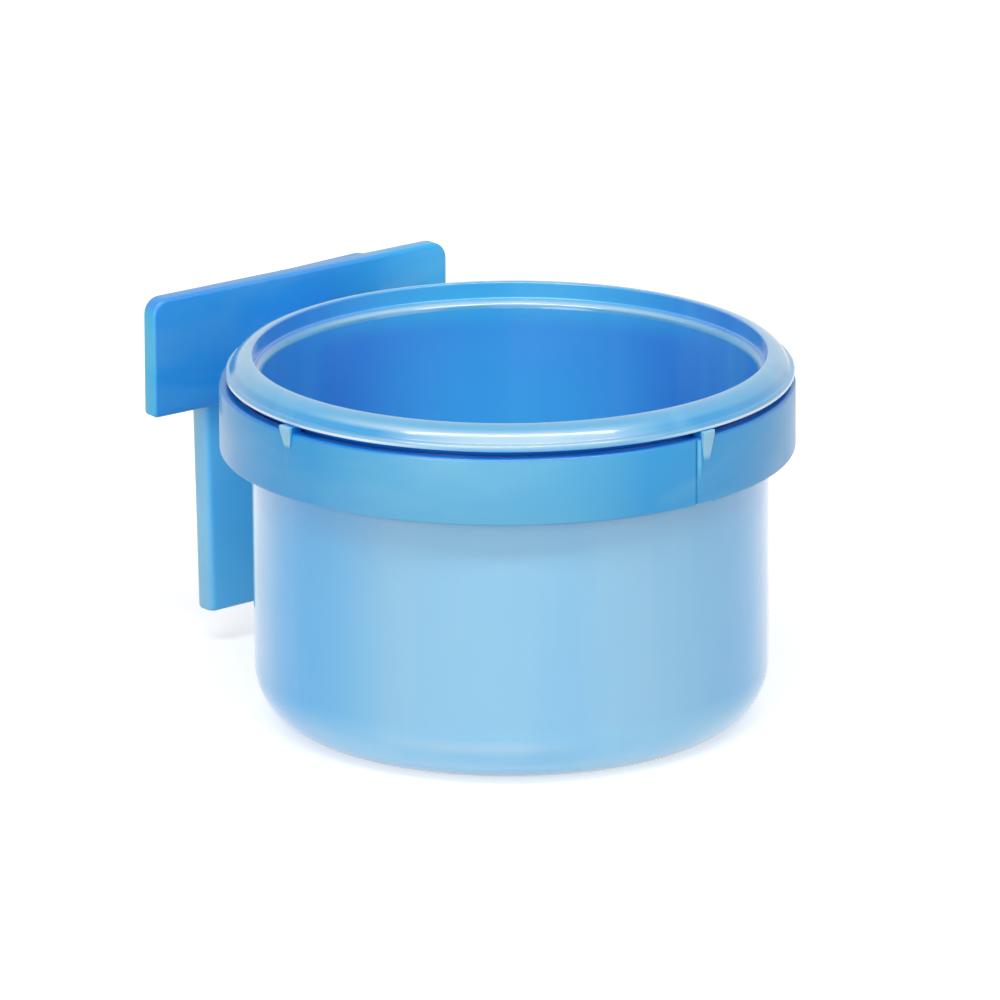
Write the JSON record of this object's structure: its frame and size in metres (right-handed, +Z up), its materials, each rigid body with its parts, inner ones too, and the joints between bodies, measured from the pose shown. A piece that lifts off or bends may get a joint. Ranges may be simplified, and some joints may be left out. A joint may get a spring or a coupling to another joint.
{
  "type": "seed cup",
  "caption": "Round plastic seed cup that lifts out of a ring holder, with a plate clamp and wing nut that fix it to cage bars.",
  "frame": {"origin": "centre of the cup's flat underside, on the cup's axis", "axes": "+Z up along the cup's axis, +Y along the clamp bolt towards the cage, +X across the plates"},
  "size_m": [0.1024, 0.1328, 0.0675],
  "materials": {
    "cup_plastic": "glossy sky-blue moulded plastic",
    "holder_plastic": "glossy sky-blue moulded plastic",
    "plate_plastic": "glossy sky-blue moulded plastic",
    "bolt_steel": "bright zinc plate",
    "washer_steel": "bright zinc plate",
    "nut_steel": "bright zinc plate"
  },
  "bodies": {
    "holder": {"ring_holder": "holder_plastic", "clamp_bolt": "bolt_steel"},
    "cup": {"cup": "cup_plastic"},
    "washer": {"washer": "washer_steel"},
    "clamp_plate": {"clamp_plate": "plate_plastic"},
    "wing_nut": {"wing_nut": "nut_steel"}
  },
  "joints": [
    {"name": "cup_lift", "type": "slide", "parent": "holder", "child": "cup", "axis": [0, 0, 1], "range_m": [0, 0.075]},
    {"name": "clamp_travel", "type": "slide", "parent": "holder", "child": "washer", "axis": [0, 1, 0], "range_m": [0, 0.0072]},
    {"name": "plate_swivel", "type": "hinge", "parent": "washer", "child": "clamp_plate", "pos_m": [0, 0.06949, 0.0546], "axis": [0, 1, 0], "continuous": true},
    {"name": "nut_turn", "type": "hinge", "parent": "washer", "child": "wing_nut", "pos_m": [0, 0.07049, 0.0546], "axis": [0, 1, 0], "range_deg": [0, 3240]}
  ],
  "couplings": [
    {"joint": "nut_turn", "follows": "clamp_travel", "rad_per_m": 7854}
  ]
}
